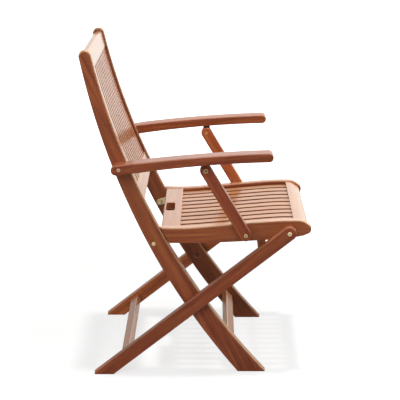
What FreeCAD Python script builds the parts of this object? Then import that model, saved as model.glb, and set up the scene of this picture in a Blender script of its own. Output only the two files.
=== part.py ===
import FreeCAD, Part
import math
import os

# Folding garden armchair in teak, millimetres. X runs forward, Y to the sitter's left, Z up.
# Side outlines are written from the rear foot's corner; the whole chair is centred at the end.

V = FreeCAD.Vector

# Widths across the chair; the values ending in half or face are distances from the middle
clear_width = 446.0       # between the back uprights
board_thick = 22.0        # uprights, legs and braces
layer_gap = 1.0           # room for a washer between boards that turn on each other
rail_thick = 25.0         # seat rails
arm_rear_width = 47.0
arm_step = 6.0            # the arm is this much wider in front
inner_half = clear_width / 2
outer_face = inner_half + board_thick
rail_inner_half = outer_face - rail_thick
leg_inner = outer_face + layer_gap
leg_outer = leg_inner + board_thick
arm_outer_half = leg_inner + arm_rear_width
arm_front_half = arm_outer_half + arm_step

# Pivots in the side view (X, Z)
seat_pivot = (537.0, 406.0)
arm_pivot = (78.0, 589.0)
brace_top = (310.0, 581.0)
brace_foot = (418.0, 401.0)
catch_bolt = (167.0, 373.0)
catch_pin = (214.0, 388.0)
leg_angle = 38.2          # degrees from the floor
crossing_x = 281.0

# Back uprights: each edge is part of a circle (centre X, centre Z, radius)
front_curve = (1926.0, 1338.0, 1971.0)
rear_curve = (1904.0, 1266.0, 1967.0)
upright_crown = 15.0      # radius of the two corners at the top
chair_height = 900.0

# Backrest
back_recess = 5.0
lower_rail_thick = 22.0
top_rail_thick = 26.0
top_rail_round = 9.0      # upper edges of the top rail
lower_rail_bottom = 488.0
lower_rail_deep = 42.0
top_rail_deep = 46.0
top_rail_drop = 6.0       # below the tops of the uprights
lower_rail_top = lower_rail_bottom + lower_rail_deep
top_rail_top = chair_height - top_rail_drop
top_rail_bottom = top_rail_top - top_rail_deep
back_slats = 12
back_slat_width = 24.5
back_slat_thick = 12.0
back_slat_recess = 2.0

# Legs and stretchers
leg_width = 38.0
front_stretcher_at = (374.0, 75.0)
front_stretcher_size = (32.0, 18.0)
rear_stretcher_reach = 571.0   # from the seat pivot, along the leg
rear_stretcher_size = (28.0, 18.0)
upper_stretcher_x = (453.0, 473.0)
upper_stretcher_z = (345.0, 381.8)

# Seat
rail_top = ((185.0, 419.0), (240.0, 417.0), (347.0, 425.0), (456.0, 434.5), (526.0, 438.9),
            (575.0, 438.0))
rail_nose = (597.0, 422.5)
rail_chin = (597.0, 404.0)
rail_bottom = ((576.0, 395.2), (557.0, 391.4), (462.0, 382.3), (347.0, 375.9), (208.0, 374.0))
brow_round = 40.0         # the three roundings of the nose, from the top down
nose_round = 14.0
chin_round = 12.0
seat_slats = 10
seat_slat_width = 31.0
seat_slat_thick = 15.0
seat_slat_drop = 9.0
rear_board_x = (188.0, 240.0)
rear_board_z = (395.5, 415.5)
hand_hole_x = (194.0, 219.0)
hand_hole_length = 91.0
hand_hole_corner = 9.0
front_board_x = 549.5
front_board_recess = 6.0  # behind the noses of the rails
front_board_drop = 2.5    # below the tops of the rails
batten_x = (372.0, 412.0)
batten_thick = 20.0

# Arms and braces
arm_line = ((70.0, 588.5), (267.0, 610.5), (478.0, 623.0))
arm_thick = 24.0
arm_rear_drop = 3.0       # the arm's rear end is this much deeper below
arm_taper_x = (98.0, 124.0)  # where the outer face steps out
arm_bend = 12.0           # radius of the bends on either side of that step
arm_corner = 14.0         # front corners, seen from above
arm_corner_reach = 4.0    # how far the plan's square front lies beyond the rounded tip
brace_width = 32.0
tongue_width = 20.0
tongue_thick = 6.0
slot_play = 0.4

# Brass fittings
shank = 4.0               # radius of the bolts
crossing_shank = 4.5
play = 0.08               # between a bolt and its bore, on the radius
head_height = 3.0
crossing_head = 7.0       # radius, sunk in the upright's inner face
crossing_sink = 8.0       # depth of that recess
plate_thick = 3.0
plate_width = 19.0
plate_rim = 6.0           # plate above the middle of the seated pin
mouth_angle = 109.3       # way in which the pin drops into its notch
nut_radius = 7.0
nut_thick = 4.5
pin_head = 7.0
pin_grip = 15.0           # depth of a pin in its rail
washer_play = 0.05        # between a washer and the boards on each side

edge_round = 3.0
slat_round = 2.0
hand_hole_round = 1.5
origin_gap = 0.3          # room between curved faces that meet but belong to different bodies


def flat(x, z):
    return V(x, 0, z)


def spline(points):
    curve = Part.BSplineCurve()
    curve.interpolate([flat(*p) for p in points])
    return curve.toShape()


def outline(start, *steps):
    """Face in the XZ plane. A step is a point, a pair (through, end) for an arc,
    or a list of points for a smooth curve."""
    edges = []
    here = start
    for step in steps:
        if isinstance(step, list):
            edges.append(spline([here] + step))
            here = step[-1]
        elif isinstance(step[0], tuple):
            edges.append(Part.Arc(flat(*here), flat(*step[0]), flat(*step[1])).toShape())
            here = step[1]
        else:
            edges.append(Part.makeLine(flat(*here), flat(*step)))
            here = step
    if math.dist(here, start) > 1e-6:
        edges.append(Part.makeLine(flat(*here), flat(*start)))
    return Part.Face(Part.Wire(edges))


def across(face, a, b):
    """Solid of an XZ face, between the two planes Y = a and Y = b."""
    low, high = min(a, b), max(a, b)
    moved = face.copy()
    moved.translate(V(0, low, 0))
    return moved.extrude(V(0, high - low, 0))


def round_bar(at, radius, a, b):
    low, high = min(a, b), max(a, b)
    return Part.makeCylinder(radius, high - low, V(at[0], low, at[1]), V(0, 1, 0))


def hex_bar(at, radius, a, b):
    corners = [polar(at, radius, 60 * k) for k in range(6)]
    return across(outline(*corners), a, b)


def polar(at, radius, degrees):
    turn = math.radians(degrees)
    return (at[0] + radius * math.cos(turn), at[1] + radius * math.sin(turn))


def ease(solid, radius, wanted):
    """Round the edges that the test picks."""
    return solid.makeFillet(radius, [e for e in solid.Edges if wanted(e)])


def round_corners(solid, corners):
    """Round the edges that run across the chair at these places: (corner, radius) pairs."""
    for corner, radius in corners:
        picked = [e for e in solid.Edges if e.BoundBox.XLength < 0.01 and e.BoundBox.ZLength < 0.01
                  and math.dist((e.BoundBox.XMin, e.BoundBox.ZMin), corner) < 0.05]
        solid = solid.makeFillet(radius, picked)
    return solid


def not_across(edge):
    """True for the edges around a board's two side faces."""
    return edge.BoundBox.YLength < 0.01


def stands_at(edge, places):
    """True for the upright edges of a shape at these X places."""
    box = edge.BoundBox
    return box.YLength < 0.01 and box.ZLength > 1 and min(abs(box.XMin - x) for x in places) < 0.1


def around_rim(edge):
    """True for the edges that run around a board's top and bottom, false for seams across it."""
    box = edge.BoundBox
    return box.XLength > 0.01 or (box.YLength > 0.01 and box.ZLength > 0.01)


def lengthwise(edge):
    """True for the long edges of a slat, which has no edge across it longer than its width."""
    return edge.Length > 2 * max(back_slat_width, seat_slat_width)


def along(edge):
    """True for the long edges of a piece that spans the chair."""
    box = edge.BoundBox
    return box.YLength > inner_half and box.XLength < 0.01 and box.ZLength < 0.01


def curve_x(curve, z, back=0.0):
    """X of a circle's rear side at height z, moved back by an amount."""
    return curve[0] - math.sqrt((curve[2] + back) ** 2 - (z - curve[1]) ** 2)


def curve_point(curve, z, back):
    """Point square behind the place on the circle at height z."""
    turn = math.pi - math.asin((z - curve[1]) / curve[2])
    return (curve[0] + (curve[2] + back) * math.cos(turn),
            curve[1] + (curve[2] + back) * math.sin(turn))


def band(curve, back, thick, z_low, z_high):
    """Face of a board that follows the backrest's curve, with square ends."""
    z_mid = (z_low + z_high) / 2
    front = [curve_point(curve, z, back) for z in (z_low, z_mid, z_high)]
    rear = [curve_point(curve, z, back + thick) for z in (z_high, z_mid, z_low)]
    return outline(front[0], (front[1], front[2]), rear[0], (rear[1], rear[2]), front[0])


def tilted_box(at, long_side, short_side, degrees):
    """Rectangle in the side view, its long side turned from level."""
    turn = math.radians(degrees)
    u = (math.cos(turn) * long_side / 2, math.sin(turn) * long_side / 2)
    n = (-math.sin(turn) * short_side / 2, math.cos(turn) * short_side / 2)
    corners = [(at[0] + p * u[0] + q * n[0], at[1] + p * u[1] + q * n[1])
               for p, q in ((-1, -1), (1, -1), (1, 1), (-1, 1))]
    return outline(*corners)


def circle_of(points):
    """Centre and radius of the circle through three points."""
    (ax, az), (bx, bz), (cx, cz) = points
    d = 2 * (ax * (bz - cz) + bx * (cz - az) + cx * (az - bz))
    a2, b2, c2 = ax * ax + az * az, bx * bx + bz * bz, cx * cx + cz * cz
    ux = (a2 * (bz - cz) + b2 * (cz - az) + c2 * (az - bz)) / d
    uz = (a2 * (cx - bx) + b2 * (ax - cx) + c2 * (bx - ax)) / d
    return (ux, uz), math.dist((ux, uz), points[0])


slope = math.tan(math.radians(leg_angle))
crossing = (crossing_x, seat_pivot[1] - (seat_pivot[0] - crossing_x) * slope)
nodes = {}


def upright(s):
    """Back upright, from the front foot to the rounded top behind the sitter's head."""
    z_mid = chair_height / 2
    toe, heel = (curve_x(front_curve, 0), 0), (curve_x(rear_curve, 0), 0)
    top_front = (curve_x(front_curve, chair_height), chair_height)
    top_rear = (curve_x(rear_curve, chair_height), chair_height)
    face = outline(heel, toe, ((curve_x(front_curve, z_mid), z_mid), top_front), top_rear,
                   ((curve_x(rear_curve, z_mid), z_mid), heel))
    crown = min(upright_crown, 0.46 * (top_front[0] - top_rear[0]))
    solid = round_corners(across(face, s * inner_half, s * outer_face),
                          ((toe, edge_round), (heel, edge_round),
                           (top_front, crown), (top_rear, crown)))
    solid = ease(solid, edge_round, not_across)
    solid = solid.cut(round_bar(crossing, crossing_shank + 0.5, s * inner_half, s * (outer_face + 1)))
    solid = solid.cut(round_bar(crossing, crossing_head + 1, s * (inner_half - 1),
                                s * (inner_half + crossing_sink)))
    solid = solid.cut(round_bar(arm_pivot, shank + play, s * (inner_half + 5), s * (outer_face + 1)))
    return solid.cut(round_bar(catch_bolt, shank + play, s * (inner_half - 1), s * (outer_face + 1)))


def leg(s):
    """Straight leg from the rear foot up to the seat pivot."""
    half = leg_width / 2
    rise = half / math.cos(math.radians(leg_angle))
    upper = lambda x: seat_pivot[1] + rise - (seat_pivot[0] - x) * slope
    lower_x = lambda z: seat_pivot[0] - (seat_pivot[1] - rise - z) / slope
    top = polar(seat_pivot, half, leg_angle + 90)
    tip = polar(seat_pivot, half, leg_angle)
    under = polar(seat_pivot, half, leg_angle - 90)
    heel = -1.0
    face = outline((heel, 0), (lower_x(0), 0), under, (tip, top), (heel, upper(heel)))
    solid = ease(across(face, s * leg_inner, s * leg_outer), edge_round, not_across)
    solid = solid.cut(round_bar(seat_pivot, shank + play, s * (leg_inner - 1), s * (leg_outer + 1)))
    return solid.cut(round_bar(crossing, crossing_shank + play, s * (leg_inner - 1), s * (leg_outer - 5)))


def seat_profile(a, b):
    """Side profile of the seat with its rounded nose, between two planes."""
    face = outline(rail_top[0], list(rail_top[1:]), rail_nose, rail_chin, rail_bottom[0],
                   list(rail_bottom[1:]), rail_top[0])
    return round_corners(across(face, a, b), ((rail_top[-1], brow_round), (rail_nose, nose_round),
                                              (rail_chin, chin_round)))


def seat_rail(s):
    """Dished side rail of the seat, with the rounded nose in front."""
    solid = ease(seat_profile(s * rail_inner_half, s * outer_face), edge_round, not_across)
    solid = solid.cut(round_bar(seat_pivot, shank + play,
                                s * (rail_inner_half + 4), s * (outer_face + 1)))
    return solid.cut(round_bar(catch_pin, shank + play,
                               s * (rail_inner_half - 1), s * (rail_inner_half + pin_grip + 1)))


def arm(s):
    """Flat arm, gently arched, that widens outwards towards the hand."""
    centre, radius = circle_of(arm_line)
    half = arm_thick / 2

    def off(point, amount):
        scale = (radius + amount) / radius
        return (centre[0] + (point[0] - centre[0]) * scale,
                centre[1] + (point[1] - centre[1]) * scale)

    rear, middle, front = arm_line
    level = lambda a, b: math.degrees(math.atan2(b[1] - a[1], b[0] - a[0]))
    rear_low = off(rear, -half - arm_rear_drop)
    rear_tip = polar(off(rear, -arm_rear_drop / 2), half + arm_rear_drop / 2,
                     level(off(rear, half), rear_low) - 90)
    front_tip = polar(front, half, level(off(front, -half), off(front, half)) - 90)
    face = outline(off(rear, half), (off(middle, half), off(front, half)),
                   (front_tip, off(front, -half)),
                   (off(middle, -half), rear_low), (rear_tip, off(rear, half)))
    body = across(face, s * leg_inner, s * (arm_front_half + 1))
    near, far = rear_tip[0] - arm_thick, front_tip[0] + arm_corner_reach
    low = rear[1] - 2 * arm_thick
    corners = ((near, leg_inner), (far, leg_inner), (far, arm_front_half),
               (arm_taper_x[1], arm_front_half), (arm_taper_x[0], arm_outer_half),
               (near, arm_outer_half), (near, leg_inner))
    plan = Part.makePolygon([V(x, s * y, low) for x, y in corners])
    shape = Part.Face(plan).extrude(V(0, 0, front[1] + 2 * arm_thick - low))
    shape = shape.makeFillet(arm_corner, [e for e in shape.Edges if stands_at(e, (far,))])
    shape = shape.makeFillet(arm_bend, [e for e in shape.Edges if stands_at(e, arm_taper_x)])
    solid = ease(body.common(shape), edge_round, around_rim)
    return solid.cut(round_bar(arm_pivot, shank + play, s * (leg_inner - 1), s * (arm_outer_half + 1)))


def tongue(s, arm_solid):
    """Tab under the arm that stands in the slot of the brace."""
    mid = (leg_inner + leg_outer) / 2
    half = tongue_width / 2
    left, right = brace_top[0] - half, brace_top[0] + half
    face = outline((left, brace_top[1]), ((brace_top[0], brace_top[1] - half), (right, brace_top[1])),
                   (right, brace_top[1] + 30), (left, brace_top[1] + 30))
    solid = across(face, s * (mid - tongue_thick / 2), s * (mid + tongue_thick / 2)).cut(arm_solid)
    solid = max(solid.Solids, key=lambda piece: piece.Volume)
    return solid.cut(round_bar(brace_top, shank + play, s * leg_inner, s * leg_outer))


def brace(s):
    """Brace between the arm and the seat rail, forked at its upper end."""
    turn = math.degrees(math.atan2(brace_foot[1] - brace_top[1], brace_foot[0] - brace_top[0]))
    half = brace_width / 2
    face = outline(polar(brace_top, half, turn + 90),
                   (polar(brace_top, half, turn + 180), polar(brace_top, half, turn - 90)),
                   polar(brace_foot, half, turn - 90),
                   (polar(brace_foot, half, turn), polar(brace_foot, half, turn + 90)))
    solid = ease(across(face, s * leg_inner, s * leg_outer), edge_round, not_across)
    mid = (leg_inner + leg_outer) / 2
    slot_half = tongue_thick / 2 + slot_play
    slot_at = polar(brace_top, 8.0, turn + 180)
    slot = across(tilted_box(slot_at, 44.0, brace_width + 4, turn), s * (mid - slot_half), s * (mid + slot_half))
    solid = solid.cut(slot)
    for at in (brace_top, brace_foot):
        solid = solid.cut(round_bar(at, shank + play, s * (leg_inner - 1), s * (leg_outer + 1)))
    return solid


def domed_head(at, radius, face_y, s, height, hollow, depth):
    """Low round head on an outer face, with a small recess in its middle."""
    head = round_bar(at, radius, face_y, face_y + s * height)
    rim = [e for e in head.Edges if abs(e.BoundBox.YMin - (face_y + s * height)) < 0.01
           and e.BoundBox.YLength < 0.01]
    head = head.makeFillet(height * 0.45, rim)
    return head.cut(round_bar(at, hollow, face_y + s * (height - depth), face_y + s * (height + 1)))


def washer(at, radius, hole, a, b):
    return round_bar(at, radius, a, b).cut(round_bar(at, hole, a - 5, b + 5))


def layer_washer(at, radius, hole, s):
    """Washer that fills the gap between two boards that turn on each other."""
    return washer(at, radius, hole, s * (outer_face + washer_play), s * (leg_inner - washer_play))


def nut(at, radius, a, b):
    """Hexagonal nut with its bore."""
    return hex_bar(at, radius, a, b).cut(round_bar(at, shank + play, min(a, b) - 1, max(a, b) + 1))


def catch_plate(s):
    """Plate on the upright's inner side; the seat's pin drops into its notch from above."""
    a = s * (rail_inner_half - origin_gap)
    b = s * (rail_inner_half - origin_gap - plate_thick)
    run = math.degrees(math.atan2(catch_pin[1] - catch_bolt[1], catch_pin[0] - catch_bolt[0]))
    length = math.dist(catch_bolt, catch_pin)
    middle = ((catch_bolt[0] + catch_pin[0]) / 2, (catch_bolt[1] + catch_pin[1]) / 2)
    body = across(tilted_box(middle, length, plate_width, run), a, b)
    body = body.fuse([round_bar(catch_bolt, plate_width / 2, a, b),
                      round_bar(catch_pin, plate_width / 2, a, b)]).removeSplitter()
    low, reach = catch_pin[1] + plate_rim, 2 * length
    top = across(outline((middle[0] - reach, low), (middle[0] + reach, low),
                         (middle[0] + reach, low + reach), (middle[0] - reach, low + reach)), a, b)
    bore = round_bar(catch_bolt, shank + play, a + s, b - s)
    seat_r = shank + origin_gap
    mouth_at = polar(catch_pin, plate_width, mouth_angle)
    mouth = across(tilted_box(mouth_at, 2 * plate_width, 2 * seat_r, mouth_angle), a, b)
    return body.cut([top, bore, round_bar(catch_pin, seat_r, a, b), mouth])


def name_solids():
    for s, side in ((-1, "right"), (1, "left")):
        nodes["stile_" + side] = upright(s)
        nodes["leg_" + side] = leg(s)
        nodes["seat_rail_" + side] = seat_rail(s)
        nodes["arm_" + side] = arm(s)
        nodes["arm_tongue_" + side] = tongue(s, nodes["arm_" + side])
        nodes["brace_" + side] = brace(s)
        nodes["arm_pivot_bolt_" + side] = Part.makeCompound([
            domed_head(arm_pivot, 5.0, s * arm_outer_half, s, 2.5, 1.0, 0.6).fuse(
                round_bar(arm_pivot, shank, s * (inner_half + 6), s * arm_outer_half)),
            layer_washer(arm_pivot, 9.0, shank + play, s)])
        nodes["brace_bolts_" + side] = Part.makeCompound([
            domed_head(brace_top, 6.6, s * leg_outer, s, head_height, 3.4, 2.2).fuse(
                round_bar(brace_top, shank, s * (leg_inner + 0.3), s * leg_outer)),
            domed_head(brace_foot, 5.5, s * leg_outer, s, head_height, 1.4, 0.8).fuse(
                round_bar(brace_foot, shank, s * (leg_inner + 0.1), s * leg_outer)),
            round_bar(brace_foot, 9.0, s * (outer_face + washer_play), s * (leg_inner - washer_play))])
    back_frame()
    seat_boards()
    shared_fittings()


def back_frame():
    """Rails, slats and stretchers that join the uprights and the legs."""
    full = inner_half
    lower = band(front_curve, back_recess, lower_rail_thick, lower_rail_bottom, lower_rail_top)
    upper = band(front_curve, back_recess, top_rail_thick, top_rail_bottom, top_rail_top)
    nodes["back_lower_rail"] = ease(across(lower, -full, full), edge_round, along)
    halfway = (top_rail_bottom + top_rail_top) / 2
    rail = ease(across(upper, -full, full), edge_round,
                lambda e: along(e) and e.BoundBox.ZMax < halfway)
    nodes["back_top_rail"] = ease(rail, top_rail_round,
                                  lambda e: along(e) and e.BoundBox.ZMin > halfway)
    slat = band(front_curve, back_recess + back_slat_recess, back_slat_thick,
                lower_rail_top, top_rail_bottom)
    gap = (2 * full - back_slats * back_slat_width) / (back_slats + 1)
    for k in range(back_slats):
        y = -full + gap + k * (back_slat_width + gap)
        solid = across(slat, y, y + back_slat_width)
        nodes["back_slat_%02d" % (k + 1)] = ease(solid, slat_round, lengthwise)
    z = front_stretcher_at[1]
    lean = curve_x(front_curve, z + 10) - curve_x(front_curve, z - 10)
    tilt = math.degrees(math.atan2(20, lean))
    bar = across(tilted_box(front_stretcher_at, *front_stretcher_size, tilt), -full, full)
    nodes["front_stretcher"] = ease(bar, edge_round, along)
    at = polar(seat_pivot, -rear_stretcher_reach, leg_angle)
    bar = across(tilted_box(at, *rear_stretcher_size, leg_angle), -leg_inner, leg_inner)
    nodes["leg_rear_stretcher"] = ease(bar, edge_round, along)
    (x0, x1), (z0, z1) = upper_stretcher_x, upper_stretcher_z
    bar = across(outline((x0, z0), (x1, z0), (x1, z1), (x0, z1)), -leg_inner, leg_inner)
    nodes["leg_upper_stretcher"] = ease(bar, edge_round, along)


def seat_boards():
    """Everything that lies between the two seat rails."""
    full = rail_inner_half
    (x0, x1), (z0, z1) = rear_board_x, rear_board_z
    board = across(outline((x0, z0), (x1, z0), (x1, z1), (x0, z1)), -full, full)
    board = ease(board, edge_round, along)
    hx0, hx1 = hand_hole_x
    half = hand_hole_length / 2
    hole = Part.makeBox(hx1 - hx0, 2 * half, z1 - z0 + 20, V(hx0, -half, z0 - 10))
    hole = hole.makeFillet(hand_hole_corner, [e for e in hole.Edges if e.BoundBox.ZLength > z1 - z0])
    board = board.cut(hole)
    nodes["seat_rear_board"] = ease(board, hand_hole_round, lambda e: hand_edge(e, hx0, hx1, half))
    room = Part.makeBox(rail_nose[0], 2 * full, 2 * rail_nose[1], V(front_board_x, -full, 0))
    whole_seat = seat_profile(-full, full)
    board = whole_seat.copy()
    board.translate(V(-front_board_recess, 0, -front_board_drop))
    nodes["seat_front_board"] = board.common(whole_seat).common(room)
    top = [(x, z - seat_slat_drop) for x, z in rail_top[1:5]]
    top.append((front_board_x, rail_top[4][1] - seat_slat_drop))
    under = [(x, z - seat_slat_thick) for x, z in reversed(top)]
    face = outline(top[0], top[1:], under[0], under[1:])
    gap = (2 * full - seat_slats * seat_slat_width) / (seat_slats + 1)
    for k in range(seat_slats):
        y = -full + gap + k * (seat_slat_width + gap)
        solid = across(face, y, y + seat_slat_width)
        nodes["seat_slat_%02d" % (k + 1)] = ease(solid, slat_round, lengthwise)
    a, b = batten_x
    share = lambda x: (x - rail_top[2][0]) / (rail_top[3][0] - rail_top[2][0])
    below = lambda x: (rail_top[2][1] + share(x) * (rail_top[3][1] - rail_top[2][1])
                       - seat_slat_drop - seat_slat_thick - 0.35)
    batten = outline((a, below(a)), (a, below(a) - batten_thick), (b, below(b) - batten_thick),
                     (b, below(b)))
    nodes["seat_batten"] = across(batten, -full, full)


def hand_edge(edge, x0, x1, half):
    """True for the edges around the mouth of the hand hole."""
    box = edge.BoundBox
    inside = box.XMin > x0 - 0.1 and box.XMax < x1 + 0.1 and box.YMax < half + 0.1
    return inside and box.ZLength < 0.01 and box.YMin > -half - 0.1


def shared_fittings():
    """Bolts, plates and pins that sit on both sides of one moving body."""
    crossing_parts, catch_parts, plates, pivot_parts, pins = [], [], [], [], []
    for s in (-1, 1):
        sunk = inner_half + crossing_sink
        head = round_bar(crossing, crossing_head, s * (sunk - 5), s * sunk).cut(
            hex_bar(crossing, 3.6, s * (sunk - 6), s * (sunk - 2)))
        crossing_parts.append(head.fuse(
            round_bar(crossing, crossing_shank, s * sunk, s * (leg_outer - 6))))
        crossing_parts.append(layer_washer(crossing, 11.0, crossing_shank + play, s))
        pivot_parts.append(domed_head(seat_pivot, 5.8, s * leg_outer, s, head_height, 1.4, 0.8).fuse(
            round_bar(seat_pivot, shank, s * (rail_inner_half + 5), s * leg_outer)))
        pivot_parts.append(layer_washer(seat_pivot, 10.0, shank + play, s))
        nut_face = rail_inner_half - origin_gap - plate_thick - washer_play
        catch_parts.append(domed_head(catch_bolt, 5.1, s * outer_face, s, head_height, 0.8, 0.4).fuse(
            round_bar(catch_bolt, shank, s * (nut_face - nut_thick - 1.2), s * outer_face)))
        catch_parts.append(washer(catch_bolt, 7.0, shank + play,
                                  s * (rail_inner_half - origin_gap + washer_play), s * inner_half))
        catch_parts.append(nut(catch_bolt, nut_radius, s * nut_face, s * (nut_face - nut_thick)))
        plates.append(catch_plate(s))
        pin_face = nut_face - 0.65
        pins.append(round_bar(catch_pin, pin_head, s * pin_face, s * (pin_face - head_height)).fuse(
            round_bar(catch_pin, shank, s * (pin_face - 0.5), s * (rail_inner_half + pin_grip))))
    nodes["crossing_bolts"] = Part.makeCompound(crossing_parts)
    nodes["seat_pivot_bolts"] = Part.makeCompound(pivot_parts)
    nodes["catch_bolts"] = Part.makeCompound(catch_parts)
    nodes["catch_plates"] = Part.makeCompound(plates)
    nodes["seat_catch_pins"] = Part.makeCompound(pins)


name_solids()
whole = Part.makeCompound(list(nodes.values())).optimalBoundingBox(True)
shift = V(-(whole.XMin + whole.XMax) / 2, 0, -whole.ZMin)
os.makedirs("parts", exist_ok=True)
for name, shape in nodes.items():
    shape.translate(shift)
    shape.exportStep("parts/%s.step" % name)
    print(name, "solids", len(shape.Solids), "valid", shape.isValid())
print("shift", round(shift.x, 3), round(shift.z, 3), "crossing", crossing)
print("box", whole.XLength, whole.YLength, whole.ZLength)
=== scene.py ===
import bpy
import collections
import math
import random
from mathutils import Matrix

# A folding garden armchair in oiled teak with brass fittings, in metres.
# X runs forward, Y to the sitter's left, Z up. The camera looks at the sitter's right side.

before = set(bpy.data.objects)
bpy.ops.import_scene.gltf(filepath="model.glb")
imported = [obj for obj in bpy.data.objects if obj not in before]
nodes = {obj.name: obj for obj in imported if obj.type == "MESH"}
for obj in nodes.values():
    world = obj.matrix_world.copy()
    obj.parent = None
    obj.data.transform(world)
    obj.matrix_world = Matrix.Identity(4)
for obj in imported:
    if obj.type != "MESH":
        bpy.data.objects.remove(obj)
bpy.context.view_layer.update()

# Colours of the wood, its wear, and painted light and shade
TEAK_DARK = (0.178, 0.033, 0.0083)
TEAK_MID = (0.285, 0.064, 0.0155)
TEAK_LIGHT = (0.410, 0.118, 0.029)
TEAK_GOLDEN = (0.33, 0.110, 0.026)    # yellower patches between the red ones
PORE = (0.080, 0.019, 0.007)
# Painted shade in the corners and recesses of the brass fittings
CORNER_SHADE = (0.055, 0.030, 0.016)
GAP_SHADE = (0.100, 0.019, 0.007)      # painted shade on the faces between the slats
# Painted top light: the pale colour that upper faces are lightened towards
PAINTED_TOP_LIGHT = (0.55, 0.29, 0.15)
# Painted highlight on the rounded edges that look up
EDGE_HIGHLIGHT = (0.72, 0.42, 0.20)
WORN = (0.56, 0.25, 0.12)
BRIGHTEST_WOOD = 0.9                  # no toned colour goes above this
GOLDEN_GREEN = 0.35                   # what a fully golden board gains in green
GOLDEN_BLUE = 0.10
FIGURE_STOPS = (0.35, 0.50, 0.66)     # where the figure is dark, middling and light

# Grain of the boards: how finely each pattern is drawn, along the board and across it
SLOW_WAVER = (1.3, 7.0)
RINGS = (0.22, 9.0)
BROAD_FIGURE = (2.2, 34.0)
NARROW_FIGURE = (8.0, 150.0)
FIBRES = (16.0, 900.0)
PORE_DASHES = (70.0, 1500.0)
GOLDEN_PATCHES = (3.2, 12.0)
RING_BEND = (0.0, 0.5, 0.35)          # how far the slow waver bends the rings
RING_SHARE = 0.07                     # the figure is the sum of three shares
BROAD_SHARE = 0.30
NARROW_SHARE = 0.63
CUT_RANGE = 6.0                       # each board is cut from its own place in the grain

# Where each mask starts to show and where it is full
PORES_SHOW = (0.66, 0.74)
PATCHES_SHOW = (0.35, 0.68)
END_GRAIN_SHOWS = (0.72, 0.97)        # how squarely a face looks along the board
CHEEKS_SHOW = (0.45, 0.85)            # how squarely it looks across the chair
UPPER_FACE_SHOWS = (0.1, 0.65)        # how far it looks up
WEAR_SHOWS = (0.995, 0.86)            # agreement of the rounded and the flat face, less at corners
EDGE_HIGHLIGHT_SHOWS = (0.998, 0.93)
SKYWARD_SHOWS = (0.04, 0.22)
CORNER_SHADE_SHOWS = (0.95, 0.6)              # how open a place is to its surroundings, less in corners
TARNISH_SHOWS = (0.42, 0.72)

# How strongly each effect colours a surface
PATCH_STRENGTH = 0.38
STREAK_STRENGTH = 0.30
PORE_STRENGTH = 0.55
END_GRAIN_STRENGTH = 0.45
EDGE_STRENGTH = 0.5
TARNISH_STRENGTH = 0.6
STREAK_LIFT = 1.05                    # how much lighter the streaks are than the dark wood
RUBBED_LIFT = 1.25                    # how much lighter brass is where it is rubbed

# Worn edges, corners darkened with painted shade and edges paled with painted highlight, with their widths
# in metres
WOOD_EDGE = 0.004
BRASS_EDGE = 0.0008
SHADED_CORNER_WIDTH = 0.004
HIGHLIGHT_REACH = 2.2                     # the painted edge highlight reaches this many times further in
EVEN_WEAR = 0.35                      # wear that is left where the noise is 0
WEAR_BREAKS = 160.0                   # how finely the noise breaks up a worn edge

# Relief of the surface: its strength, and its depth in metres
WOOD_RELIEF = (0.10, 0.00015)
BRASS_RELIEF = (0.2, 0.00008)
PORE_DEPTH = 0.8                      # depth of the pores beside the height of the fibres
DULL_PATCHES = 420.0                  # how finely the dull patches on brass are drawn
SCRATCHES = (900.0, 4000.0, 3200.0)   # the same for its scratches, in X, Y and Z

# Oil film on the wood
WOOD_ROUGHNESS = (0.34, 0.56)         # between the fibres and on them
FILM_ROUGHNESS = 0.16
FILM_IOR = 1.5
WOOD_IOR = 1.46
FILM_LOST_ON_EDGES = 0.6
FILM_LOST_IN_GAPS = 0.9
SLAT_SPECULAR = 0.3

# Slopes of the boards in the side view, in degrees from level
STILE_SLOPE = -63.0
BACK_SLOPE = -70.0
LEG_SLOPE = 38.2
BRACE_SLOPE = -59.0
ARM_SLOPE = 4.6
SEAT_RAIL_SLOPE = 3.0
SEAT_SLAT_SLOPE = 4.5

# Studio floor and surroundings
WHITE = (1, 1, 1, 1)
FLOOR_HALF = 14.0
FLOOR_COLOUR = (0.42, 0.415, 0.41, 1)
FLOOR_EVENNESS = 0.385                # how much of the floor's colour is even, for the camera
FLOOR_GLOW = 1.82
EVEN_FLOOR_AT = (0.9, 1.8)            # distances from the middle over which it becomes quite even
SURROUND_LIGHT = 0.14
SEEN_WHITE = 1.05
MIRRORED_WHITE = (1.0, 0.985, 0.945, 1.0)
MIRRORED_BACKDROP = 1.3               # the white backdrop and ceiling, as gloss shows them
MIRRORED_FLOOR = 1.3
MIRRORED_FLOOR_AT = (0.5, 7.0)        # where the floor that gloss shows turns from dark to white
DARK_SIDE = 0.07                      # the unlit side of the room, where the camera stands
BACKDROP_AT = (-0.35, 0.25)           # sideways directions between the dark side and the backdrop
CEILING_AT = (0.15, 0.6)              # upward directions between the dark side and the ceiling
BACKDROP_ENDS_AT = (-0.30, 0.0)       # the backdrop falls off towards the sitter's back
FADED_BACKDROP = 0.28

# Lamps: panel powers in watts, angles in degrees
HIGH_LAMP_STRENGTH = 2.0
HIGH_LAMP_TILT = (1.3, 2.2)
HIGH_LAMP_SOFTNESS = 4.5
Panel = collections.namedtuple("Panel", "name place target size power")
PANELS = [
    Panel("front_panel", (2.9, 0.5, 2.3), (0.0, 0.0, 0.6), (2.0, 2.0), 78.0),
    Panel("side_panel", (0.2, -2.5, 2.5), (0.0, 0.0, 0.4), (2.4, 1.6), 46.0),
    Panel("rear_panel", (-2.3, -1.9, 1.5), (0.0, 0.1, 0.3), (1.4, 1.4), 22.0),
]

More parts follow.
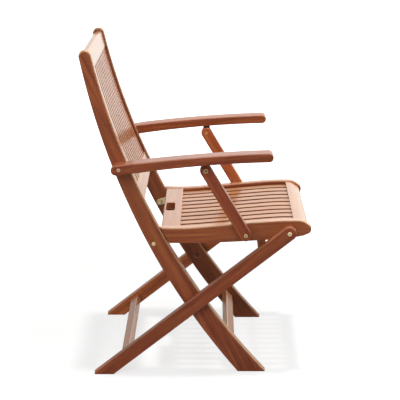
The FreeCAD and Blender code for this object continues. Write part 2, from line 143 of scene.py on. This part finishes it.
# Camera
LENS = 125.4
SENSOR_WIDTH = 36.0
CAMERA_SHIFT = (-0.0288, 0.1334)
CAMERA_PLACE = (0.0393, -3.9036, 1.4161)
CAMERA_DIP = 16.3125                  # degrees below level
CAMERA_REACH = 100.0


# Helpers for shader nodes

def link_or_set(tree, value, socket):
    """Feeds an input from another node's socket, or sets it to a constant."""
    if isinstance(value, bpy.types.NodeSocket):
        tree.links.new(value, socket)
    else:
        socket.default_value = value


def put(tree, kind, settings=None, **inputs):
    """Adds a node. An input is named by its label, or by its number after an underscore."""
    node = tree.nodes.new(kind)
    for key, value in (settings or {}).items():
        setattr(node, key, value)
    for name, value in inputs.items():
        place = int(name[1:]) if name[0] == "_" else name.replace("_", " ")
        link_or_set(tree, value, node.inputs[place])
    return node


def arithmetic(tree, operation, a, b=0.0, clamp=False):
    """One step of arithmetic on two values."""
    settings = {"operation": operation, "use_clamp": clamp}
    return put(tree, "ShaderNodeMath", settings, _0=a, _1=b).outputs[0]


def times(tree, a, b, clamp=False):
    return arithmetic(tree, "MULTIPLY", a, b, clamp)


def plus(tree, a, b, clamp=False):
    return arithmetic(tree, "ADD", a, b, clamp)


def faded(tree, mask, loss, whole):
    """The whole where the mask is 0, and less by the loss where it is 1."""
    return put(tree, "ShaderNodeMath", {"operation": "MULTIPLY_ADD"},
               _0=mask, _1=-loss, _2=whole).outputs[0]


def rescaled(tree, value, low=0.0, high=1.0, to_low=0.0, to_high=1.0, curve="LINEAR"):
    """Moves the range from low to high onto another one, and clamps what lies outside it."""
    return put(tree, "ShaderNodeMapRange", {"interpolation_type": curve},
               _0=value, _1=low, _2=high, _3=to_low, _4=to_high).outputs[0]


def vector_arithmetic(tree, operation, *vectors):
    """The vector that an operation makes of the given ones."""
    inputs = {"_%d" % number: vector for number, vector in enumerate(vectors)}
    return put(tree, "ShaderNodeVectorMath", {"operation": operation}, **inputs).outputs[0]


def agreement(tree, a, b):
    """1 where two directions are the same, and less the further they part."""
    return put(tree, "ShaderNodeVectorMath", {"operation": "DOT_PRODUCT"}, _0=a, _1=b).outputs[1]


def turned_by(tree, vector, turn):
    return put(tree, "ShaderNodeVectorRotate", {"rotation_type": "EULER_XYZ"},
               Vector=vector, Rotation=turn).outputs[0]


def parts_of(tree, vector):
    """The X, Y and Z of a vector."""
    return put(tree, "ShaderNodeSeparateXYZ", None, Vector=vector).outputs


def noise(tree, vector, detail, roughness, scale=1.0):
    return put(tree, "ShaderNodeTexNoise", None, Vector=vector, Scale=scale, Detail=detail,
               Roughness=roughness).outputs[0]


def ramp(tree, factor, stops):
    """Colour ramp; each stop is a position and a colour."""
    node = put(tree, "ShaderNodeValToRGB", None, _0=factor)
    elements = node.color_ramp.elements
    while len(elements) < len(stops):
        elements.new(0.5)
    for element, (place, colour) in zip(elements, stops):
        element.position = place
        element.color = (*colour, 1)
    return node.outputs[0]


def mix(tree, mask, strength, below, above):
    """Lays one colour over another where the mask is 1, as far as the strength says."""
    node = put(tree, "ShaderNodeMix", {"data_type": "RGBA"}, _0=times(tree, mask, strength))
    for number, colour in ((6, below), (7, above)):
        value = (*colour, 1) if isinstance(colour, tuple) else colour
        link_or_set(tree, value, node.inputs[number])
    return node.outputs[2]


def new_group(name, inputs, outputs):
    """Empty node group with named inputs, and with named masks as its outputs."""
    group = bpy.data.node_groups.new(name, "ShaderNodeTree")
    for label, kind in inputs.items():
        group.interface.new_socket(name=label, in_out="INPUT", socket_type=kind)
    for label in outputs:
        group.interface.new_socket(name=label, in_out="OUTPUT", socket_type="NodeSocketFloat")
    return group, group.nodes.new("NodeGroupInput").outputs, group.nodes.new("NodeGroupOutput").inputs


def hand_out(group, results, outputs):
    """Joins the results to the group's outputs of the same names."""
    for label, socket in results.items():
        group.links.new(socket, outputs[label])


def use_group(tree, group, **inputs):
    return put(tree, "ShaderNodeGroup", {"node_tree": group}, **inputs).outputs


# Surface effects that several materials share

def make_board_grain():
    """Grain of one board. The grain runs along the turned X axis."""
    group, given, outputs = new_group(
        "board grain",
        {"Place": "NodeSocketVector", "Facing": "NodeSocketVector",
         "Turn": "NodeSocketVector", "Cut from": "NodeSocketVector"},
        ["Figure", "Fibre", "Pores", "End grain", "Patches", "Cheeks", "Upper face"])
    turned = turned_by(group, given["Place"], given["Turn"])
    moved = vector_arithmetic(group, "ADD", turned, given["Cut from"])

    def stretched(pattern):
        along, across = pattern
        return vector_arithmetic(group, "MULTIPLY", moved, (along, across, across))

    # Growth rings: faint bands, drawn out along the board and bent by a slow waver
    slow = noise(group, stretched(SLOW_WAVER), 3.0, 0.5)
    waver = put(group, "ShaderNodeCombineXYZ", None, Y=slow, Z=slow).outputs[0]
    bands = {"wave_type": "BANDS", "bands_direction": "DIAGONAL", "wave_profile": "SIN"}
    rings = put(group, "ShaderNodeTexWave", bands,
                Vector=vector_arithmetic(group, "MULTIPLY_ADD", waver, RING_BEND, stretched(RINGS)),
                Scale=2.6, Distortion=1.6, Detail=2.0, Detail_Scale=1.0).outputs[1]
    broad = times(group, noise(group, stretched(BROAD_FIGURE), 2.0, 0.5), BROAD_SHARE)
    narrow = times(group, noise(group, stretched(NARROW_FIGURE), 3.0, 0.6), NARROW_SHARE)
    figure = plus(group, times(group, rings, RING_SHARE), plus(group, broad, narrow), clamp=True)
    dashes = noise(group, stretched(PORE_DASHES), 1.0, 0.4)
    patches = noise(group, stretched(GOLDEN_PATCHES), 2.0, 0.5)

    # Where the surface looks: along the board, across the chair, or up
    lengthwise = parts_of(group, turned_by(group, given["Facing"], given["Turn"]))[0]
    _, sideways, upwards = parts_of(group, given["Facing"])
    hand_out(group, {
        "Figure": figure,
        "Fibre": noise(group, stretched(FIBRES), 3.0, 0.65),
        "Pores": rescaled(group, dashes, *PORES_SHOW),
        "Patches": rescaled(group, patches, *PATCHES_SHOW),
        "End grain": rescaled(group, arithmetic(group, "ABSOLUTE", lengthwise), *END_GRAIN_SHOWS),
        "Cheeks": rescaled(group, arithmetic(group, "ABSOLUTE", sideways), *CHEEKS_SHOW),
        "Upper face": rescaled(group, upwards, *UPPER_FACE_SHOWS)}, outputs)
    return group


def make_wear_and_highlight_masks():
    """Edges and corners: one mask where hands have worn them, broken up by a fine noise, and one
    for the painted highlight that pales the edges that look up, further in from the corner."""
    group, given, outputs = new_group(
        "wear and edge highlight", {"Place": "NodeSocketVector", "Width": "NodeSocketFloat"},
        ["Edges", "Edge highlights"])
    flat = group.nodes.new("ShaderNodeNewGeometry").outputs["Normal"]

    def rounded(width):
        return put(group, "ShaderNodeBevel", {"samples": 4}, Radius=width).outputs[0]

    corner = rescaled(group, agreement(group, rounded(given["Width"]), flat), *WEAR_SHOWS)
    breaks = plus(group, noise(group, given["Place"], 3.0, 0.6, WEAR_BREAKS), EVEN_WEAR)
    # Painted highlight: a wider rounding, kept to the edges that look up
    wide = rounded(times(group, given["Width"], HIGHLIGHT_REACH))
    near_edge = rescaled(group, agreement(group, wide, flat), *EDGE_HIGHLIGHT_SHOWS)
    skyward = rescaled(group, parts_of(group, wide)[2], *SKYWARD_SHOWS)
    hand_out(group, {"Edges": times(group, corner, breaks, clamp=True),
                     "Edge highlights": times(group, near_edge, skyward)}, outputs)
    return group


def make_metal_marks_and_shade():
    """Turned and handled brass: dull patches, small scratches, and corners darkened with painted shade."""
    group, given, outputs = new_group("handled metal and corner shade", {"Place": "NodeSocketVector"},
                                      ["Dull", "Scratches", "Sheltered"])
    lines = vector_arithmetic(group, "MULTIPLY", given["Place"], SCRATCHES)
    # Painted shade: darker where corners close the surface in
    openness = put(group, "ShaderNodeAmbientOcclusion", {"samples": 8}, Distance=SHADED_CORNER_WIDTH)
    hand_out(group, {"Dull": noise(group, given["Place"], 3.0, 0.6, DULL_PATCHES),
                     "Scratches": noise(group, lines, 2.0, 0.7),
                     "Sheltered": rescaled(group, openness.outputs["AO"], *CORNER_SHADE_SHOWS)}, outputs)
    return group


board_grain = make_board_grain()
wear_and_highlight_group = make_wear_and_highlight_masks()
metal_marks_and_shade_group = make_metal_marks_and_shade()


# Materials

# Looks of one board. turn brings its length onto X; tone makes it lighter or darker; golden moves it
# from red towards yellow; polish is how much oil film it keeps; the next three are the painted top light
# that pales its upper face, the painted shade on the faces that look into the gap beside the next slat,
# and the painted highlight that pales its edges that look up.
Look = collections.namedtuple("Look", "turn tone golden polish bleached gap_dirt sunny", defaults=(0.0, 0.0))


def base_material(name):
    """New material, with its node tree, its shader and the coordinates of its surface."""
    material = bpy.data.materials.new(name)
    material.use_nodes = True
    tree = material.node_tree
    shader = next(n for n in tree.nodes if n.type == "BSDF_PRINCIPLED")
    return material, tree, shader, tree.nodes.new("ShaderNodeTexCoord").outputs


def add_relief(tree, surface, relief, height):
    """Fine relief that only bends the light."""
    strength, depth = relief
    bump = put(tree, "ShaderNodeBump", None, Strength=strength, Distance=depth, Height=height)
    tree.links.new(bump.outputs[0], surface["Normal"])


def teak_colour(tree, grain, edge_masks, look):
    """Colour of one board: its figure, with each further effect laid over the ones before."""
    def toned(colour, lift=1.0):
        red, green, blue = (min(c * look.tone * lift, BRIGHTEST_WOOD) for c in colour)
        return (red, green * (1 + GOLDEN_GREEN * look.golden), blue * (1 + GOLDEN_BLUE * look.golden))

    shades = [toned(shade) for shade in (TEAK_DARK, TEAK_MID, TEAK_LIGHT)]
    colour = ramp(tree, grain["Figure"], list(zip(FIGURE_STOPS, shades)))
    layers = [(grain["Patches"], PATCH_STRENGTH, toned(TEAK_GOLDEN)),
              # painted top light on the upper faces
              (grain["Upper face"], look.bleached, PAINTED_TOP_LIGHT),
              (grain["Fibre"], STREAK_STRENGTH, toned(TEAK_DARK, STREAK_LIFT)),
              (grain["Pores"], PORE_STRENGTH, PORE),
              (grain["End grain"], END_GRAIN_STRENGTH, toned(TEAK_DARK)),
              (edge_masks["Edges"], EDGE_STRENGTH, toned(WORN))]
    # painted highlight on the edges that look up
    if look.sunny:
        layers.append((edge_masks["Edge highlights"], look.sunny, EDGE_HIGHLIGHT))
    # Painted shade on the faces that look into the gaps between the slats
    if look.gap_dirt:
        layers.append((grain["Cheeks"], look.gap_dirt, GAP_SHADE))
    for mask, strength, layer_colour in layers:
        colour = mix(tree, mask, strength, colour, layer_colour)
    return colour


def teak(name, look, seed):
    """Oiled teak of one board."""
    material, tree, shader, coords = base_material(name)
    surface = shader.inputs
    draw = random.Random(seed)
    cut = tuple(draw.uniform(-CUT_RANGE, CUT_RANGE) for _ in range(3))
    grain = use_group(tree, board_grain, Place=coords["Object"], Facing=coords["Normal"],
                      Turn=look.turn, Cut_from=cut)
    edge_masks = use_group(tree, wear_and_highlight_group, Place=coords["Object"], Width=WOOD_EDGE)
    tree.links.new(teak_colour(tree, grain, edge_masks, look), surface["Base Color"])
    low, high = WOOD_ROUGHNESS
    tree.links.new(rescaled(tree, grain["Fibre"], to_low=low, to_high=high), surface["Roughness"])
    height = arithmetic(tree, "SUBTRACT", grain["Fibre"], times(tree, grain["Pores"], PORE_DEPTH))
    add_relief(tree, surface, WOOD_RELIEF, height)
    # Hands and weather take the oil film off the edges first
    film = faded(tree, edge_masks["Edges"], FILM_LOST_ON_EDGES * look.polish, look.polish)
    if look.gap_dirt:
        film = times(tree, film, faded(tree, grain["Cheeks"], FILM_LOST_IN_GAPS, 1.0))
        surface["Specular IOR Level"].default_value = SLAT_SPECULAR
    tree.links.new(film, surface["Coat Weight"])
    surface["Coat Roughness"].default_value = FILM_ROUGHNESS
    surface["Coat IOR"].default_value = FILM_IOR
    surface["IOR"].default_value = WOOD_IOR
    return material


def brass(name, colour, dull_colour, roughness, metal=0.3, corner_shade=0.95):
    """Brass of a fitting, dulled by the weather; dull_colour is its colour in its dullest places,
    roughness goes from its brightest places to these, and the last one says how much painted shade darkens
    its corners."""
    material, tree, shader, coords = base_material(name)
    surface = shader.inputs
    metal_masks = use_group(tree, metal_marks_and_shade_group, Place=coords["Object"])
    edge_masks = use_group(tree, wear_and_highlight_group, Place=coords["Object"], Width=BRASS_EDGE)
    rubbed = tuple(min(c * RUBBED_LIFT, 1.0) for c in colour)
    layers = [(rescaled(tree, metal_masks["Dull"], *TARNISH_SHOWS), TARNISH_STRENGTH, dull_colour),
              (edge_masks["Edges"], EDGE_STRENGTH, rubbed),
              # painted shade in the corners and recesses
              (metal_masks["Sheltered"], corner_shade, CORNER_SHADE)]
    for mask, strength, layer_colour in layers:
        colour = mix(tree, mask, strength, colour, layer_colour)
    tree.links.new(colour, surface["Base Color"])
    low, high = roughness
    tree.links.new(rescaled(tree, metal_masks["Dull"], to_low=low, to_high=high), surface["Roughness"])
    add_relief(tree, surface, BRASS_RELIEF, metal_masks["Scratches"])
    surface["Metallic"].default_value = metal
    return material


# Boards and fittings

def dress(node, material):
    """Gives a CAD node one material for all its faces."""
    mesh = nodes[node].data
    mesh.materials.clear()
    mesh.materials.append(material)


def tilted(degrees):
    """Turn for a board that rises forward at this angle in the side view."""
    return (0.0, math.radians(degrees), 0.0)


ALONG_Y = (0.0, 0.0, math.radians(-90))

# Turn, tone, golden, polish and painted top light of each board
BOARD_LOOKS = {
    "stile_right": Look(tilted(STILE_SLOPE), 0.97, -0.15, 0.8, 0.9, sunny=0.9),
    "stile_left": Look(tilted(STILE_SLOPE), 0.80, -0.1, 0.55, 0.1, sunny=0.4),
    "back_top_rail": Look(ALONG_Y, 1.3, 1.0, 1.0, 0.9),
    "back_lower_rail": Look(ALONG_Y, 1.8, 1.0, 1.0, 1.0),
    "front_stretcher": Look(ALONG_Y, 1.75, 0.5, 1.0, 0.7),
    "leg_right": Look(tilted(LEG_SLOPE), 0.90, -0.35, 0.42, 0.2),
    # Painted light: the far leg is toned far lighter than the near one, for the light that reaches it
    "leg_left": Look(tilted(LEG_SLOPE), 1.85, 0.05, 1.0, 0.3),
    "leg_rear_stretcher": Look(ALONG_Y, 1.7, 0.4, 1.0, 0.6),
    "leg_upper_stretcher": Look(ALONG_Y, 0.85, 0.0, 0.25, 0.0),
    "seat_rail_right": Look(tilted(SEAT_RAIL_SLOPE), 1.12, 0.0, 1.0, 1.0, sunny=0.5),
    "seat_rail_left": Look(tilted(SEAT_RAIL_SLOPE), 1.15, -0.1, 0.9, 0.5),
    "seat_rear_board": Look(ALONG_Y, 1.1, 0.6, 0.9, 0.3),
    "seat_front_board": Look(ALONG_Y, 1.2, 1.1, 1.0, 0.5),
    "seat_batten": Look(ALONG_Y, 0.85, 0.0, 0.5, 0.0),
    "arm_right": Look(tilted(ARM_SLOPE), 0.86, -0.38, 0.58, 0.03),
    "arm_left": Look(tilted(ARM_SLOPE), 1.10, -0.15, 0.36, 0.1),
    "brace_right": Look(tilted(BRACE_SLOPE), 1.0, -0.5, 0.5, 0.0),
    # Painted light: the far brace is toned lighter than the near one, for the light bounced onto it
    "brace_left": Look(tilted(BRACE_SLOPE), 1.7, 0.0, 0.7, 0.0),
}
SLAT_SEED = 11


def slat_looks():
    """Looks of the back slats, yellower and with more painted shade in their gaps on the right, and of the
    seat slats.
    """
    draw = random.Random(SLAT_SEED)
    looks = {}
    back_slats = sorted(n for n in nodes if n.startswith("back_slat_"))
    for place, name in enumerate(back_slats):
        leftward = place / (len(back_slats) - 1)
        tone = draw.uniform(1.2, 1.5)
        golden = 1.1 - 0.8 * leftward + draw.uniform(-0.1, 0.1)
        looks[name] = Look(tilted(BACK_SLOPE), tone, golden, polish=0.75, bleached=0.3,
                           gap_dirt=0.95 - 0.35 * leftward)
    for name in sorted(n for n in nodes if n.startswith("seat_slat_")):
        tone = draw.uniform(1.1, 1.5)
        golden = draw.uniform(0.4, 1.0)
        bleached = draw.uniform(0.25, 0.65)
        looks[name] = Look(tilted(SEAT_SLAT_SLOPE), tone, golden, 0.7, bleached, gap_dirt=0.8)
    return looks


def dress_wood():
    """One board after another, each with its own cut and tone."""
    looks = {**BOARD_LOOKS, **slat_looks()}
    for seed, name in enumerate(sorted(looks), start=1):
        dress(name, teak("teak_" + name, looks[name], seed))


def dress_fittings():
    """One brass for each kind of fitting, which the start of its name tells."""
    heads = brass("brass_heads", (1.0, 0.80, 0.46), (0.72, 0.50, 0.26), (0.28, 0.45))
    plates = brass("brass_plates", (0.95, 0.78, 0.46), (0.60, 0.44, 0.24), (0.40, 0.60))
    # The tongue under the arm is coloured nearly black, as dark as the shade it sits in: painted shade
    shade_dark_brass = brass("brass_painted_shade", (0.085, 0.036, 0.018), (0.045, 0.022, 0.012), (0.6, 0.8), metal=0.1)
    stained = brass("brass_stained", (0.200, 0.070, 0.034), (0.140, 0.045, 0.022), (0.6, 0.8),
                    metal=0.0, corner_shade=0.2)
    coppery = brass("brass_coppery", (0.80, 0.47, 0.34), (0.52, 0.27, 0.18), (0.30, 0.50))
    weathered = brass("brass_weathered", (0.72, 0.50, 0.25), (0.40, 0.25, 0.11), (0.35, 0.55))
    finishes = {"crossing_bolts": stained, "arm_pivot_bolt": coppery, "brace_bolts": weathered,
                "seat_pivot_bolts": heads, "catch_bolts": heads, "catch_plates": plates,
                "seat_catch_pins": plates, "arm_tongue": shade_dark_brass}
    for start, finish in finishes.items():
        for name in nodes:
            if name.startswith(start):
                dress(name, finish)


dress_wood()
dress_fittings()


# Floor, light and camera

def make_floor():
    """Large pale floor. For the camera part of its colour is even, so the shadow stays light."""
    mesh = bpy.data.meshes.new("floor")
    half = FLOOR_HALF
    mesh.from_pydata([(-half, -half, 0), (half, -half, 0), (half, half, 0), (-half, half, 0)], [],
                     [(0, 1, 2, 3)])
    floor = bpy.data.objects.new("floor", mesh)
    bpy.context.scene.collection.objects.link(floor)
    material, tree, shader, coords = base_material("studio_floor")
    output = next(n for n in tree.nodes if n.type == "OUTPUT_MATERIAL")
    shader.inputs["Base Color"].default_value = FLOOR_COLOUR
    shader.inputs["Roughness"].default_value = 0.9
    shader.inputs["Specular IOR Level"].default_value = 0.0
    spot = coords["Object"]
    path = tree.nodes.new("ShaderNodeLightPath").outputs
    glow = put(tree, "ShaderNodeEmission", None, Color=WHITE, Strength=FLOOR_GLOW)
    away = put(tree, "ShaderNodeVectorMath", {"operation": "LENGTH"}, _0=spot).outputs[1]
    evenness = rescaled(tree, away, *EVEN_FLOOR_AT, FLOOR_EVENNESS, 1.0)
    seen = put(tree, "ShaderNodeMixShader", None, _0=times(tree, path["Is Camera Ray"], evenness),
               _1=shader.outputs[0], _2=glow.outputs[0])
    sideways = parts_of(tree, spot)[1]
    lightness = rescaled(tree, sideways, *MIRRORED_FLOOR_AT, DARK_SIDE, MIRRORED_FLOOR)
    mirrored = put(tree, "ShaderNodeEmission", None, Color=MIRRORED_WHITE, Strength=lightness)
    final = put(tree, "ShaderNodeMixShader", None, _0=path["Is Glossy Ray"],
                _1=seen.outputs[0], _2=mirrored.outputs[0])
    tree.links.new(final.outputs[0], output.inputs[0])
    mesh.materials.append(material)


def make_world():
    """Studio surroundings: white for the camera, a faint light, and a backdrop for gloss to show."""
    world = bpy.data.worlds.new("studio")
    bpy.context.scene.world = world
    world.use_nodes = True
    tree = world.node_tree
    light = next(n for n in tree.nodes if n.type == "BACKGROUND")
    output = next(n for n in tree.nodes if n.type == "OUTPUT_WORLD")
    light.inputs[0].default_value = WHITE
    light.inputs[1].default_value = SURROUND_LIGHT
    seen = put(tree, "ShaderNodeBackground", None, Color=WHITE, Strength=SEEN_WHITE)
    path = tree.nodes.new("ShaderNodeLightPath").outputs
    way = tree.nodes.new("ShaderNodeTexCoord").outputs["Generated"]
    forward, sideways, upwards = parts_of(tree, way)
    beyond = rescaled(tree, sideways, *BACKDROP_AT)
    above = rescaled(tree, upwards, *CEILING_AT)
    reach = rescaled(tree, forward, *BACKDROP_ENDS_AT, FADED_BACKDROP, 1.0, "SMOOTHSTEP")
    backdrop = times(tree, arithmetic(tree, "MAXIMUM", beyond, above), reach)
    lightness = rescaled(tree, backdrop, to_low=DARK_SIDE, to_high=MIRRORED_BACKDROP)
    mirrored = put(tree, "ShaderNodeBackground", None, Color=MIRRORED_WHITE, Strength=lightness)
    unseen = put(tree, "ShaderNodeMixShader", None, _0=path["Is Glossy Ray"],
                 _1=light.outputs[0], _2=mirrored.outputs[0])
    final = put(tree, "ShaderNodeMixShader", None, _0=path["Is Camera Ray"],
                _1=unseen.outputs[0], _2=seen.outputs[0])
    tree.links.new(final.outputs[0], output.inputs[0])


def make_high_lamp():
    """A sun-like lamp almost straight above, which lays the slats' shadow on the floor."""
    data = bpy.data.lights.new("high_lamp", "SUN")
    data.energy = HIGH_LAMP_STRENGTH
    data.angle = math.radians(HIGH_LAMP_SOFTNESS)
    lamp = bpy.data.objects.new("high_lamp", data)
    across, along = HIGH_LAMP_TILT
    lamp.rotation_euler = (math.radians(across), math.radians(along), 0.0)
    lamp.visible_glossy = False
    bpy.context.scene.collection.objects.link(lamp)


def make_panel(panel):
    """A soft panel that shines at its target."""
    data = bpy.data.lights.new(panel.name, "AREA")
    data.shape = "RECTANGLE"
    data.size, data.size_y = panel.size
    data.energy = panel.power
    lamp = bpy.data.objects.new(panel.name, data)
    lamp.location = panel.place
    dx, dy, dz = (t - p for t, p in zip(panel.target, lamp.location))
    lamp.rotation_euler = (math.atan2(math.hypot(dx, dy), -dz), 0.0, math.atan2(dy, dx) - math.pi / 2)
    bpy.context.scene.collection.objects.link(lamp)


def make_camera():
    """The photograph's viewpoint, worked out from the chair's known outlines."""
    data = bpy.data.cameras.new("camera")
    data.lens = LENS
    data.sensor_width = SENSOR_WIDTH
    data.shift_x, data.shift_y = CAMERA_SHIFT
    data.clip_end = CAMERA_REACH
    camera = bpy.data.objects.new("camera", data)
    camera.location = CAMERA_PLACE
    camera.rotation_euler = (math.radians(90 - CAMERA_DIP), 0.0, 0.0)
    bpy.context.scene.collection.objects.link(camera)
    bpy.context.scene.camera = camera


make_floor()
make_world()
make_high_lamp()
for lamp_panel in PANELS:
    make_panel(lamp_panel)
make_camera()
bpy.context.scene.view_settings.view_transform = "Standard"
